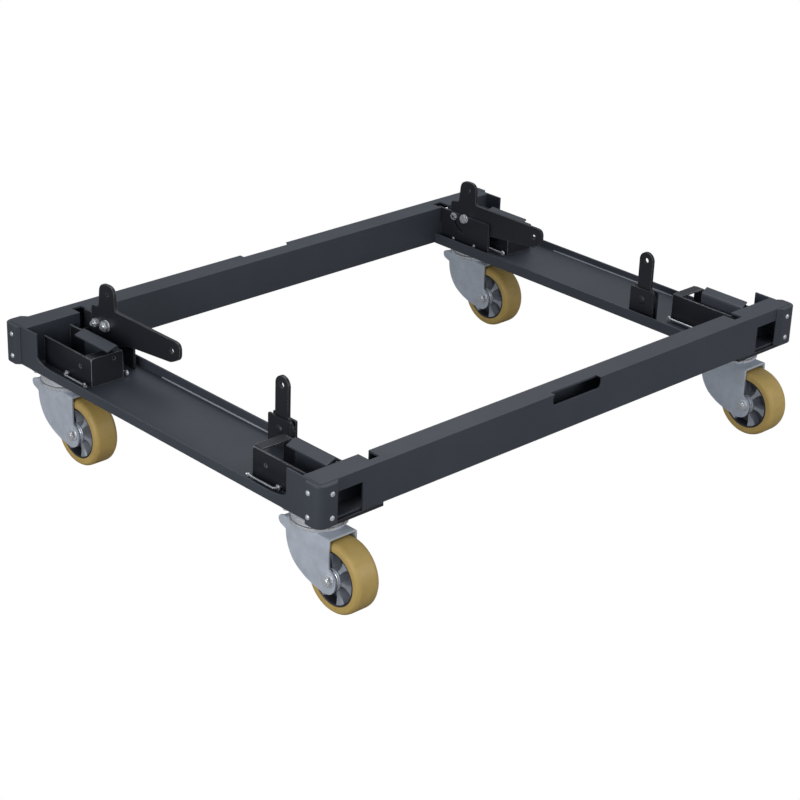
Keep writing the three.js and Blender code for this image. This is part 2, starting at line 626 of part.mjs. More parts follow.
function tyre() {
  const half = WHEEL_WIDTH / 2;
  const inside = CORE_RADIUS + GAP;
  const profile = [
    [inside, -half], [58, -half], [61.5, -half + 2], [WHEEL_RADIUS, -half + 7],
    [WHEEL_RADIUS, half - 7], [61.5, half - 2], [58, half], [inside, half], [inside, -half],
  ].map(([radius, across]) => new THREE.Vector2(radius, across));
  const ring = new THREE.LatheGeometry(profile, 40).rotateZ(Math.PI / 2);
  return ring.translate(0, -CASTOR_TRAIL, WHEEL_RADIUS);
}

// Assembly -------------------------------------------------------------------------------------------

const dolly = new THREE.Group();
dolly.position.y = REST_SHIFT_Y;

function add(name, geometry, look, parent = dolly) {
  const mesh = new THREE.Mesh(geometry, new THREE.MeshStandardMaterial(COLOURS[look]));
  mesh.name = name;
  parent.add(mesh);
}

const SIDES = [['left', -1], ['right', 1]];
const ENDS = [['front', -1], ['rear', 1]];

function addFrame() {
  for (const [end, signY] of ENDS) add(`${end}_beam`, mirrored(beam(), 1, signY), 'frame');
  for (const [side, signX] of SIDES) add(`${side}_tray`, mirrored(tray(), signX, 1), 'frame');
}

function addCorner(end, side, signX, signY) {
  const place = (geometry) => mirrored(geometry, signX, signY);
  const guideY = end === 'front' ? FRONT_GUIDE_Y : REAR_GUIDE_Y;
  add(`${end}_${side}_corner_cap`, place(cornerCap()), 'frame');
  add(`${end}_${side}_step_plate`, place(stepPlate()), 'dark');
  add(`${end}_${side}_box_bracket`, place(boxBracket(end === 'rear')), 'dark');
  add(`${end}_${side}_guide_plate`, mirrored(guidePlate(signX, guideY), 1, 1), 'frame');
  add(`${end}_${side}_bail`, place(bail()), 'zinc');
}

function addLinks(side, signX) {
  const place = (geometry) => mirrored(geometry, signX, 1);
  add(`rear_${side}_swing_link`, place(swingArm()), 'dark');
  add(`rear_${side}_link_wall_plate`, place(wallPlate()), 'dark');
  add(`rear_${side}_pivot_bolt`, place(pivotBolt()), 'zinc');
  add(`front_${side}_link_tab`, place(linkTab()), 'dark');
  add(`front_${side}_tab_clevis`, place(tabClevis()), 'dark');
  add(`front_${side}_tab_pin`, place(tabPin()), 'dark');
}

function addCastor(end, side, signX, signY) {
  const castor = new THREE.Group();
  castor.position.set(signX * CASTOR_X, signY * CASTOR_Y, 0);
  dolly.add(castor);
  add(`${end}_${side}_castor_base`, castorBase(), 'zinc', castor);
  add(`${end}_${side}_fork`, fork(), 'zinc', castor);
  add(`${end}_${side}_axle_bolt`, axleBolt(), 'zinc', castor);
  add(`${end}_${side}_axle_nut`, axleNut(), 'zinc', castor);
  add(`${end}_${side}_wheel_core`, wheelCore(), 'core', castor);
  add(`${end}_${side}_tyre`, tyre(), 'tyre', castor);
}

addFrame();
for (const [side, signX] of SIDES) {
  addLinks(side, signX);
  for (const [end, signY] of ENDS) {
    addCorner(end, side, signX, signY);
    addCastor(end, side, signX, signY);
  }
}

export default dolly;
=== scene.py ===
"""Looks of the transport dolly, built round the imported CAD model.

Metres, in the row frame: +X along the beams, -Y the front, +Z up, castors on the floor at z = 0.
Plates, tubes and folded sheets keep their CAD solids and get softened edges and paint. Castors, bolts,
bails and pins are rebuilt in finer mesh, in the places their CAD nodes hold.
"""

import json
import math

import bmesh
import bpy
from mathutils import Matrix, Vector


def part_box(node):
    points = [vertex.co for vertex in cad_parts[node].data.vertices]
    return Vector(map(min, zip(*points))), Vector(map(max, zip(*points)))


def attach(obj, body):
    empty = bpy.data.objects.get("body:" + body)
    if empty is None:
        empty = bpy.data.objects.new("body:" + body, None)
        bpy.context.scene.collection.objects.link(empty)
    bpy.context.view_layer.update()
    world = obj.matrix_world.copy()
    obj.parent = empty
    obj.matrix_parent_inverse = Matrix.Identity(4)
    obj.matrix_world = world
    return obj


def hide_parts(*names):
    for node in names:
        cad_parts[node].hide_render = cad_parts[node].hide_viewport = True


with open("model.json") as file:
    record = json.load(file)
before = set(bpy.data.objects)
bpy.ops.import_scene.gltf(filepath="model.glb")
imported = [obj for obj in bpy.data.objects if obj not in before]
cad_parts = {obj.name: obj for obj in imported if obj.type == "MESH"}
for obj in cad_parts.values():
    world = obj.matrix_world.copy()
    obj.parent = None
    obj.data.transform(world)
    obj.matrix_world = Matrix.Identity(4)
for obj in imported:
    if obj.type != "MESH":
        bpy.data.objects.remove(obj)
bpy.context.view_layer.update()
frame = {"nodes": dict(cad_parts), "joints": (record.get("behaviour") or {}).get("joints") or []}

MM = 0.001
SIDES = (("left", -1), ("right", 1))
ENDS = (("front", -1), ("rear", 1))
CORNERS = [(f"{end}_{side}", sx, sy) for end, sy in ENDS for side, sx in SIDES]
TAU = 2 * math.pi


# Camera and stage ---------------------------------------------------------------------------------

CAMERA_PLACE = Vector((-2.5815, -2.6229, 1.7715))
CAMERA_AZIMUTH = -44.145
CAMERA_ELEVATION = 24.720
CAMERA_ROLL = 2.094
CAMERA_LENS = 96.713
# The floor is pure white to the camera, and gives back this share of the light that falls on it.
BOUNCE_FLOOR = 0.30
FLOOR_REACH = 30


def make_camera():
    """Azimuth is turned from the front and elevation from level, both in degrees, and then the roll."""
    azimuth = math.radians(CAMERA_AZIMUTH)
    elevation = math.radians(CAMERA_ELEVATION)
    back = Vector((math.sin(azimuth) * math.cos(elevation), -math.cos(azimuth) * math.cos(elevation),
                   math.sin(elevation)))
    right = back.cross(Vector((0, 0, -1))).normalized()
    up = back.cross(right)
    turn = Matrix.Rotation(math.radians(CAMERA_ROLL), 3, back)
    axes = Matrix((turn @ right, turn @ up, back)).transposed()
    data = bpy.data.cameras.new("camera")
    data.lens = CAMERA_LENS
    data.sensor_width = 36
    data.clip_end = 100
    camera = bpy.data.objects.new("camera", data)
    camera.matrix_world = Matrix.Translation(CAMERA_PLACE) @ axes.to_4x4()
    bpy.context.scene.collection.objects.link(camera)
    bpy.context.scene.camera = camera


def area_light(name, place, target, size, power):
    """A round soft light at a place, turned to a target."""
    data = bpy.data.lights.new(name, "AREA")
    data.shape = "DISK"
    data.size = size
    data.energy = power
    light = bpy.data.objects.new(name, data)
    light.location = place
    light.rotation_mode = "QUATERNION"
    light.rotation_quaternion = (Vector(target) - Vector(place)).to_track_quat("-Z", "Y")
    bpy.context.scene.collection.objects.link(light)


def make_stage():
    """A white floor and world, with soft lights above, in front and on the left."""
    world = bpy.data.worlds.new("studio")
    world.use_nodes = True
    background = world.node_tree.nodes["Background"]
    background.inputs["Color"].default_value = (0.86, 0.92, 1.0, 1)
    background.inputs["Strength"].default_value = 0.38
    bpy.context.scene.world = world
    bpy.context.scene.view_settings.view_transform = "Standard"
    aim = (0, 0, 0.2)
    area_light("overhead", (1.3, 1.0, 3.2), aim, 2.4, 34)
    area_light("front_fill", (1.2, -3.4, 1.2), aim, 2.2, 30)
    area_light("left_fill", (-3.4, -0.8, 1.0), aim, 1.8, 44)
    mesh = bpy.data.meshes.new("floor")
    corners = [(x * FLOOR_REACH, y * FLOOR_REACH, 0) for x, y in ((-1, -1), (1, -1), (1, 1), (-1, 1))]
    mesh.from_pydata(corners, [], [(0, 1, 2, 3)])
    floor = bpy.data.objects.new("floor", mesh)
    bpy.context.scene.collection.objects.link(floor)
    paper = Material("floor_paper")
    seen = paper.node("ShaderNodeLightPath").outputs["Is Camera Ray"]
    bounce = paper.node("ShaderNodeMapRange", {"Value": seen, "To Min": BOUNCE_FLOOR, "To Max": 0.0})
    paper.set("Base Color", bounce.outputs["Result"])
    paper.set("Emission Color", (1.0, 1.0, 1.0))
    paper.set("Emission Strength", seen)
    paper.set("Roughness", 1.0)
    paper.set("Specular IOR Level", 0.0)
    mesh.materials.append(paper.data)


# Materials ----------------------------------------------------------------------------------------

class Material:
    """A Principled material with short helpers to add and join its nodes."""

    def __init__(self, name):
        self.data = bpy.data.materials.new(name)
        self.data.use_nodes = True
        self.tree = self.data.node_tree
        self.shader = self.tree.nodes["Principled BSDF"]
        self.place = None

    def node(self, kind, inputs=None, **settings):
        made = self.tree.nodes.new(kind)
        for key, value in settings.items():
            setattr(made, key, value)
        for key, value in (inputs or {}).items():
            self.feed(made.inputs[key], value)
        return made

    def feed(self, socket, value):
        if isinstance(value, bpy.types.NodeSocket):
            self.tree.links.new(value, socket)
        elif socket.type == "RGBA":
            socket.default_value = (*value[:3], 1)
        else:
            socket.default_value = value

    def set(self, socket, value):
        self.feed(self.shader.inputs[socket], value)

    def coordinates(self):
        if self.place is None:
            self.place = self.node("ShaderNodeTexCoord").outputs["Object"]
        return self.place

    def noise(self, scale, detail=3.0, roughness=0.55, stretch=None):
        where = self.coordinates()
        if stretch:
            where = self.node("ShaderNodeMapping", {"Vector": where, "Scale": stretch}).outputs["Vector"]
        made = self.node("ShaderNodeTexNoise", {"Vector": where, "Scale": scale, "Detail": detail,
                                                "Roughness": roughness})
        return made.outputs["Fac"]

    def ranged(self, value, low, high, to_low, to_high):
        made = self.node("ShaderNodeMapRange", {"Value": value, "From Min": low, "From Max": high,
                                                "To Min": to_low, "To Max": to_high})
        return made.outputs["Result"]

    def mix(self, factor, first, second):
        made = self.node("ShaderNodeMix", data_type="RGBA")
        self.feed(made.inputs["Factor"], factor)
        for socket, colour in ((made.inputs[6], first), (made.inputs[7], second)):
            self.feed(socket, colour)
        return made.outputs[2]

    def math(self, operation, first, second):
        made = self.node("ShaderNodeMath", operation=operation)
        self.feed(made.inputs[0], first)
        self.feed(made.inputs[1], second)
        return made.outputs["Value"]

    def edges(self, radius):
        """1 on sharp outer and inner edges, 0 on flat faces."""
        soft = self.node("ShaderNodeBevel", {"Radius": radius}, samples=4).outputs["Normal"]
        flat = self.node("ShaderNodeNewGeometry").outputs["Normal"]
        same = self.node("ShaderNodeVectorMath", {0: soft, 1: flat}, operation="DOT_PRODUCT")
        return self.ranged(same.outputs["Value"], 0.995, 0.80, 0.0, 1.0)

    def bump(self, heights):
        """Chains (height, strength, distance) bumps into the shader's normal."""
        normal = None
        for height, strength, distance in heights:
            inputs = {"Height": height, "Strength": strength, "Distance": distance}
            if normal is not None:
                inputs["Normal"] = normal
            normal = self.node("ShaderNodeBump", inputs).outputs["Normal"]
        self.set("Normal", normal)


def powder_coat(name, colour, edge_wear_and_highlight_colour, gloss, edge_radius):
    """Satin powder coat: orange peel, faint clouding, and thin edges lightened towards a second colour,
    partly a painted highlight and partly a little handling wear.
    """
    m = Material(name)
    cloud = m.noise(5.0, 4.0)
    grain = m.noise(1400.0, 2.0)
    base = m.mix(m.ranged(cloud, 0.3, 0.7, 0.0, 1.0), tuple(c * 0.88 for c in colour),
                 tuple(c * 1.12 for c in colour))
    base = m.mix(m.ranged(grain, 0.35, 0.65, 0.0, 0.25), base, tuple(c * 1.5 for c in colour))
    # Patchy lightening of the sharp edges: a painted highlight along them, with some handling wear.
    edge_wear_and_highlight = m.math("MULTIPLY", m.edges(edge_radius), m.ranged(m.noise(14.0, 4.0), 0.38, 0.6, 0.15, 1.0))
    m.set("Base Color", m.mix(edge_wear_and_highlight, base, edge_wear_and_highlight_colour))
    smear = m.noise(18.0, 4.0, stretch=(1.0, 1.0, 0.3))
    m.set("Roughness", m.ranged(smear, 0.3, 0.7, gloss - 0.05, gloss + 0.07))
    m.set("Specular IOR Level", 0.42)
    m.bump([(m.noise(420.0, 2.0), 0.22, 0.00035), (grain, 0.12, 0.00012)])
    return m.data


def zinc_plate(name, colour, metallic, roughness):
    """Zinc-plated steel: slight mottling of the plating, fine grain and a painted highlight that lightens
    the edges.
    """
    m = Material(name)
    mottle = m.noise(45.0, 5.0, 0.6)
    base = m.mix(m.ranged(mottle, 0.32, 0.68, 0.0, 1.0), tuple(c * 0.9 for c in colour),
                 tuple(min(1, c * 1.09) for c in colour))
    # Painted highlight: sharp edges lightened towards a brighter zinc.
    base = m.mix(m.math("MULTIPLY", m.edges(0.0009), 0.55), base, tuple(min(1, c * 1.45) for c in colour))
    m.set("Base Color", base)
    m.set("Metallic", metallic)
    grain = m.noise(260.0, 3.0)
    m.set("Roughness", m.ranged(grain, 0.3, 0.7, roughness - 0.07, roughness + 0.09))
    m.bump([(grain, 0.10, 0.0002), (mottle, 0.10, 0.0004)])
    return m.data


def cast_metal(name, colour, roughness):
    """Die-cast alloy: sandy grain and faint clouding."""
    m = Material(name)
    grain = m.noise(700.0, 3.0)
    cloud = m.noise(30.0, 4.0)
    m.set("Base Color", m.mix(m.ranged(cloud, 0.3, 0.7, 0.0, 1.0), tuple(c * 0.82 for c in colour),
                              tuple(c * 1.16 for c in colour)))
    m.set("Metallic", 0.55)
    m.set("Roughness", m.ranged(grain, 0.3, 0.7, roughness - 0.06, roughness + 0.10))
    m.bump([(grain, 0.25, 0.0003)])
    return m.data


def polyurethane(name, colour):
    """Moulded polyurethane: waxy, a little translucent, with faint clouding and scuffs."""
    m = Material(name)
    cloud = m.noise(22.0, 5.0)
    streak = m.noise(90.0, 4.0, stretch=(0.25, 1.0, 1.0))
    base = m.mix(m.ranged(cloud, 0.3, 0.7, 0.0, 1.0), tuple(c * 0.9 for c in colour),
                 tuple(c * 1.08 for c in colour))
    scuffed = m.ranged(streak, 0.56, 0.78, 0.0, 0.35)
    m.set("Base Color", m.mix(scuffed, base, tuple(c * 0.62 for c in colour)))
    m.set("Roughness", m.ranged(streak, 0.3, 0.7, 0.40, 0.56))
    m.set("Subsurface Weight", 0.12)
    m.set("Subsurface Radius", (0.004, 0.002, 0.001))
    m.set("Subsurface Scale", 1.0)
    m.bump([(m.noise(900.0, 2.0), 0.12, 0.0002), (streak, 0.08, 0.0003)])
    return m.data


# Mesh helpers -------------------------------------------------------------------------------------

def new_object(name, mesh, material, body, replaces=()):
    """A piece that rides a body and stands for the CAD nodes it replaces."""
    mesh.materials.append(material)
    piece = bpy.data.objects.new(name, mesh)
    bpy.context.scene.collection.objects.link(piece)
    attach(piece, body)
    if replaces:
        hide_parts(*replaces)
    return piece


def finish_mesh(bm, name, smooth_angle):
    """Welds the mesh, turns its faces outwards and keeps edges sharp above an angle in degrees."""
    bmesh.ops.remove_doubles(bm, verts=bm.verts, dist=1e-6)
    bmesh.ops.recalc_face_normals(bm, faces=bm.faces)
    mesh = bpy.data.meshes.new(name)
    bm.to_mesh(mesh)
    bm.free()
    mesh.shade_smooth()
    mesh.set_sharp_from_angle(angle=math.radians(smooth_angle))
    return mesh


def axis_frame(centre, axis):
    """A matrix whose Z points along axis, at centre."""
    turn = Vector(axis).to_track_quat("Z", "Y").to_matrix().to_4x4()
    return Matrix.Translation(Vector(centre)) @ turn


def polar_vert(bm, place, reach, angle, height):
    """A vertex at a reach, angle and height about place's Z axis."""
    return bm.verts.new(place @ Vector((reach * math.cos(angle), reach * math.sin(angle), height)))


def add_lathe(bm, profile, place, segments=48):
    """Turns (radius, height) points about place's Z axis."""
    rings = []
    for radius, height in profile:
        if radius < 1e-7:
            rings.append([bm.verts.new(place @ Vector((0, 0, height)))])
            continue
        ring = []
        for k in range(segments):
            ring.append(polar_vert(bm, place, radius, TAU * k / segments, height))
        rings.append(ring)
    for low, high in zip(rings, rings[1:]):
        join_rings(bm, low, high)
    return rings


def in_mm(points):
    """Points given in millimetres, as metres."""
    return [tuple(value * MM for value in point) for point in points]


def mirrored_profile(side):
    """A closed profile: one side of a wheel part, then its mirror image across the wheel's middle."""
    return side + [(radius, -across) for radius, across in reversed(side)] + side[:1]


def join_rings(bm, low, high):
    """Faces between two rings of vertices. One of them may be a single vertex."""
    count = max(len(low), len(high))
    for k in range(count):
        after = k + 1
        corners = (low[k % len(low)], low[after % len(low)], high[after % len(high)], high[k % len(high)])
        unique = list(dict.fromkeys(corners))
        if len(unique) > 2:
            bm.faces.new(unique)


def add_hex(bm, place, width, low, high, chamfer, segments=48):
    """A hexagon prism whose corners are turned off at the chosen ends, as on a nut or bolt head."""
    half = width / 2
    corner = half / math.cos(TAU / 12)

    def prism(height, inset):
        ring = []
        for k in range(segments):
            angle = TAU * k / segments
            turned = (angle % (TAU / 6)) - TAU / 12
            reach = min(half / math.cos(turned), corner - inset)
            ring.append(polar_vert(bm, place, reach, angle, height))
        return ring

    cut = corner - half
    rings = [prism(low, 0.0), prism(high - chamfer, 0.0), prism(high - chamfer * 0.4, cut * 0.55),
             prism(high, cut * 1.15)]
    for lower, upper in zip(rings, rings[1:]):
        join_rings(bm, lower, upper)
    bm.faces.new(rings[0])
    bm.faces.new(rings[-1])


def add_washer(bm, place, inner, outer, low, high, segments, closed=False):
    """A flat ring. Left open at its bore unless closed."""
    profile = [(inner, low), (outer, low), (outer, high), (inner, high)]
    add_lathe(bm, profile + profile[:1] if closed else profile, place, segments)


def add_rod(bm, place, radius, low, high, chamfer=0.0006, segments=32):
    profile = [(0, low), (radius - chamfer, low), (radius, low + chamfer), (radius, high - chamfer),
               (radius - chamfer, high), (0, high)]
    add_lathe(bm, profile, place, segments)


def add_thread(bm, place, radius, low, high, pitch=0.00125, segments=28):
    """Turned grooves that read as a thread."""
    profile = [(0, low), (radius - pitch * 0.5, low)]
    height = low
    while height + pitch < high:
        profile += [(radius, height + pitch * 0.35), (radius, height + pitch * 0.5),
                    (radius - pitch * 0.5, height + pitch * 0.9)]
        height += pitch
    profile += [(radius - pitch * 0.5, high), (0, high)]
    add_lathe(bm, profile, place, segments)


def add_button_screw(bm, centre, axis, radius, height):
    """A domed socket screw with its hexagon socket sunk into the head."""
    place = axis_frame(centre, axis)
    socket = radius * 0.44
    profile = [(0, 0), (radius * 1.06, 0), (radius * 1.06, height * 0.30), (radius, height * 0.45),
               (radius * 0.9, height * 0.72), (radius * 0.76, height * 0.91), (radius * 0.6, height)]
    rings = add_lathe(bm, profile, place, 24)
    inner = []
    for drop in (height, height * 0.3):
        ring = []
        for k in range(24):
            angle = TAU * k / 24
            turned = (angle % (TAU / 6)) - TAU / 12
            reach = socket * math.cos(TAU / 12) / math.cos(turned)
            ring.append(polar_vert(bm, place, reach, angle, drop))
        inner.append(ring)
    join_rings(bm, rings[-1], inner[0])
    join_rings(bm, inner[0], inner[1])
    bm.faces.new(inner[1])


def add_sweep(bm, points, radius, sides=12):
    """A round wire along points, with closed ends. Its rings are carried along without twist."""
    points = [Vector(p) for p in points]
    tangents = []
    for k in range(len(points)):
        before = points[max(k - 1, 0)]
        after = points[min(k + 1, len(points) - 1)]
        tangents.append((after - before).normalized())
    side = tangents[0].orthogonal().normalized()
    rings = []
    for point, tangent in zip(points, tangents):
        side = (side - tangent * side.dot(tangent)).normalized()
        up = tangent.cross(side)
        ring = []
        for k in range(sides):
            angle = TAU * k / sides
            ring.append(bm.verts.new(point + (side * math.cos(angle) + up * math.sin(angle)) * radius))
        rings.append(ring)
    for low, high in zip(rings, rings[1:]):
        join_rings(bm, low, high)
    bm.faces.new(rings[0])
    bm.faces.new(rings[-1])


def arc_points(centre, start, end, first, second, radius, steps):
    """Points on an arc in the plane of the unit vectors first and second, from start to end radians."""
    centre, first, second = Vector(centre), Vector(first), Vector(second)
    made = []
    for k in range(steps + 1):
        angle = start + (end - start) * k / steps
        made.append(centre + (first * math.cos(angle) + second * math.sin(angle)) * radius)
    return made


def add_bevel(piece, width, segments, angle):
    """Rounds the edges sharper than angle degrees and keeps the flat faces flat in the shading."""
    bevel = piece.modifiers.new("bevel", "BEVEL")
    bevel.width = width
    bevel.segments = segments
    bevel.limit_method = "ANGLE"
    bevel.angle_limit = math.radians(angle)
    bevel.miter_outer = "MITER_ARC"
    normals = piece.modifiers.new("normals", "WEIGHTED_NORMAL")
    normals.keep_sharp = True


# CAD nodes that stay --------------------------------------------------------------------------------

def soften(node, material, radius, segments=2):
    """Merges the flat triangles of a CAD solid, rounds its edges and paints it."""
    piece = frame["nodes"][node]
    piece.data.materials.clear()
    piece.data.materials.append(material)
    piece.data.polygons.foreach_set("use_smooth", [True] * len(piece.data.polygons))
    weld = piece.modifiers.new("weld", "WELD")
    weld.merge_threshold = 2e-6
    merge = piece.modifiers.new("merge", "DECIMATE")
    merge.decimate_type = "DISSOLVE"
    merge.angle_limit = math.radians(0.5)
    add_bevel(piece, radius, segments, 40)


def middle(node):
    """The centre of a node's box."""
    low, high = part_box(node)
    return (low + high) / 2


# Castors --------------------------------------------------------------------------------------------

LEG_SHEET = 3.5 * MM
LEG_OUTER = 30.5 * MM
BEND = 4.5 * MM
CROWN_BELOW_RACE = 10.5 * MM
RACE_RADIUS = 49 * MM
AXLE_SHANK = 5.9 * MM
AXLE_HEX = 17.8 * MM
LEG_FOOT = 28.9 * MM
RIM = 48 * MM
HALF_WHEEL = 24 * MM
BASE_PLATE = 6 * MM
KINGPIN = 7 * MM
KINGPIN_NUT = 21 * MM


def quadratic(start, control, end, steps=10):
    """Points of a quadratic curve, leaving out its first."""
    points = []
    for k in range(1, steps + 1):
        t = k / steps
        points.append(tuple((1 - t) ** 2 * p + 2 * t * (1 - t) * q + t * t * r
                            for p, q, r in zip(start, control, end)))
    return points


def leg_edges(wheel, rise):
    """The leg's front and rear edges as (forward, height) in mm, from its foot up to the crown."""
    foot = (wheel + 12, -29)
    front = [foot, *quadratic(foot, (wheel - 13, -28), (wheel - 14, -4)),
             *quadratic((wheel - 14, -4), (wheel - 13, 12), (wheel + 2, 18)), (wheel + 3, rise)]
    rear = [foot, *quadratic(foot, (wheel + 59, -24), (24, -2)), *quadratic((24, -2), (45, 18), (46, 50)),
            (54, 53), *quadratic((54, 53), (64, 55), (64, 64)), *quadratic((64, 64), (63, rise), (54, rise))]
    return front, rear


def reach_at(edge, height):
    """How far forward an edge lies at a height, both in metres."""
    z = height / MM
    for (low_y, low_z), (high_y, high_z) in zip(edge, edge[1:]):
        if low_z <= z <= high_z and high_z > low_z:
            return (low_y + (high_y - low_y) * (z - low_z) / (high_z - low_z)) * MM
    return edge[-1][0] * MM


def add_fork(bm, centre, wheel, axle_z, crown_z):
    """One sheet bent over the wheel: down the left leg, across the crown and down the right leg."""
    bottom = axle_z - LEG_FOOT
    steps = 40
    heights = [bottom + (crown_z - BEND - bottom) * k / steps for k in range(steps + 1)]
    heights += [bottom + 0.3 * MM, bottom + 0.8 * MM, bottom + 1.4 * MM]
    section = [(-LEG_OUTER, height) for height in sorted(heights)]
    front_edge, rear_edge = leg_edges(wheel / MM, (crown_z - axle_z) / MM)
    for k in range(1, 7):
        angle = math.pi - (math.pi / 2) * k / 6
        section.append((-LEG_OUTER + BEND + BEND * math.cos(angle), crown_z - BEND + BEND * math.sin(angle)))
    section += [(x * MM, crown_z) for x in (-18, -9, 0)]
    section += [(-x, z) for x, z in reversed(section[:-1])]
    columns = 26
    rows = []
    for x, z in section:
        front = reach_at(front_edge, z - axle_z)
        back = reach_at(rear_edge, z - axle_z)
        row = []
        for k in range(columns + 1):
            share = k / columns
            row.append(bm.verts.new(centre + Vector((x, front + (back - front) * share, z))))
        rows.append(row)
    for low, high in zip(rows, rows[1:]):
        for k in range(columns):
            bm.faces.new((low[k], low[k + 1], high[k + 1], high[k]))


def build_fork(prefix, swivel, wheel, axle_z):
    """The fork, whose wheel sits this far along Y from the swivel, with the cup on its crown."""
    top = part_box(f"{prefix}_fork")[1].z
    crown_z = top - CROWN_BELOW_RACE
    bm = bmesh.new()
    add_fork(bm, Vector((swivel.x, swivel.y, 0)), wheel, axle_z, crown_z)
    name = f"{prefix}_fork_sheet"
    mesh = finish_mesh(bm, name, 50)
    piece = new_object(name, mesh, FORK_ZINC, f"{prefix}_castor", [f"{prefix}_fork"])
    sheet = piece.modifiers.new("sheet", "SOLIDIFY")
    sheet.thickness = LEG_SHEET
    sheet.offset = -1
    sheet.use_even_offset = True
    bevel = piece.modifiers.new("bevel", "BEVEL")
    bevel.width = 0.7 * MM
    bevel.segments = 2
    bevel.limit_method = "ANGLE"
    bevel.angle_limit = math.radians(50)
    build_lower_race(prefix, swivel, crown_z, top)


def build_lower_race(prefix, swivel, crown_z, top):
    """The dished cup that stands on the crown and carries the balls, with its rolled bright rim."""
    bm = bmesh.new()
    place = Matrix.Translation((swivel.x, swivel.y, 0))
    r = RACE_RADIUS
    profile = [(20 * MM, crown_z - 1 * MM), (38 * MM, crown_z - 1 * MM), (40 * MM, crown_z + 1.2 * MM),
               (44 * MM, crown_z + 4.0 * MM), (r - 0.8 * MM, crown_z + 5.6 * MM), (r, crown_z + 6.6 * MM),
               (r, top - 0.9 * MM), (r - 0.9 * MM, top), (r - 2.4 * MM, top), (r - 3.4 * MM, top - 1 * MM),
               (20 * MM, top - 1 * MM), (20 * MM, crown_z - 1 * MM)]
    add_lathe(bm, profile, place, 72)
    mesh = finish_mesh(bm, f"{prefix}_lower_race", 30)
    new_object(f"{prefix}_lower_race", mesh, BRIGHT_ZINC, f"{prefix}_castor")


def build_castor_base(prefix, swivel):
    """Top plate with its four bolts, the upper race cup and the kingpin with its nut."""
    low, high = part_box(f"{prefix}_castor_base")
    bm = bmesh.new()
    place = Matrix.Translation((swivel.x, swivel.y, 0))
    under = high.z - BASE_PLATE
    add_plate(bm, place, 50 * MM, 42 * MM, 9 * MM, under, high.z)
    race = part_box(f"{prefix}_fork")[1].z
    cup = [(0, under), (30 * MM, under), (39 * MM, under - 1.5 * MM), (43 * MM, under - 4 * MM),
           (45.5 * MM, under - 7 * MM), (46 * MM, race + 1.2 * MM), (45 * MM, race + 0.4 * MM),
           (41 * MM, race + 0.4 * MM), (0, race + 0.4 * MM)]
    add_lathe(bm, cup, place, 72)
    add_rod(bm, place, KINGPIN, low.z + 0.5 * MM, race + 2 * MM)
    down = axis_frame((swivel.x, swivel.y, low.z + 7 * MM), (0, 0, -1))
    add_hex(bm, down, KINGPIN_NUT, 0, 6.6 * MM, 1.2 * MM)
    mesh = finish_mesh(bm, f"{prefix}_swivel_base", 32)
    new_object(f"{prefix}_swivel_base", mesh, BRIGHT_ZINC, "frame", [f"{prefix}_castor_base"])
    bolts = bmesh.new()
    for bx in (-41, 41):
        for by in (-33, 33):
            spot = axis_frame((swivel.x + bx * MM, swivel.y + by * MM, under), (0, 0, -1))
            add_hex(bolts, spot, 10 * MM, 0.0, 5 * MM, 0.8 * MM, 36)
            add_washer(bolts, spot, 5 * MM, 7.4 * MM, -0.2 * MM, 1.0 * MM, 28)
    mesh = finish_mesh(bolts, f"{prefix}_plate_bolts", 32)
    new_object(f"{prefix}_plate_bolts", mesh, BRIGHT_ZINC, "frame")


def add_plate(bm, place, half_x, half_y, corner, low, high, chamfer=0.8 * MM):
    """A flat plate with round corners and small chamfers round both faces."""
    def ring(inset, z):
        made = []
        for cx, cy, start in ((1, 1, 0), (-1, 1, 90), (-1, -1, 180), (1, -1, 270)):
            for k in range(9):
                angle = math.radians(start + 90 * k / 8)
                x = cx * (half_x - corner) + (corner - inset) * math.cos(angle)
                y = cy * (half_y - corner) + (corner - inset) * math.sin(angle)
                made.append(bm.verts.new(place @ Vector((x, y, z))))
        return made
    rings = [ring(chamfer, low), ring(0, low + chamfer), ring(0, high - chamfer), ring(chamfer, high)]
    for lower, upper in zip(rings, rings[1:]):
        join_rings(bm, lower, upper)
    bm.faces.new(rings[0])
    bm.faces.new(rings[-1])


def build_axle(prefix, axle):
    """Hex bolt through the legs with its washer, a lock nut with its washer, and two spacers."""
    for node, side in (("axle_bolt", 1), ("axle_nut", -1)):
        bm = bmesh.new()
        place = axis_frame(axle, (side, 0, 0))
        washer = in_mm([(6, 0.2), (11.6, 0.2), (11.9, 0.6), (11.9, 1.7), (11.5, 2.1), (6, 2.1)])
        add_lathe(bm, [(radius, LEG_OUTER + height) for radius, height in washer], place, 48)
        head = LEG_OUTER + 2.1 * MM
        add_hex(bm, place, AXLE_HEX, head, head + (5.0 if side > 0 else 7.4) * MM, 1.2 * MM)
        if side < 0:
            add_thread(bm, place, AXLE_SHANK, head + 2 * MM, head + 9.0 * MM)
        else:
            add_rod(bm, place, AXLE_SHANK, -LEG_OUTER - 1 * MM, LEG_OUTER + 2.4 * MM)
        name = f"{prefix}_{node}_detail"
        mesh = finish_mesh(bm, name, 30)
        new_object(name, mesh, BRIGHT_ZINC, f"{prefix}_castor", [f"{prefix}_{node}"])
    bm = bmesh.new()
    place = axis_frame(axle, (1, 0, 0))
    for side in (-1, 1):
        inner, outer = (HALF_WHEEL + 1.4 * MM) * side, (LEG_OUTER - LEG_SHEET) * side
        add_washer(bm, place, 6.1 * MM, 11 * MM, inner, outer, 36, closed=True)
    mesh = finish_mesh(bm, f"{prefix}_spacers", 30)
    new_object(f"{prefix}_spacers", mesh, BRIGHT_ZINC, f"{prefix}_castor")


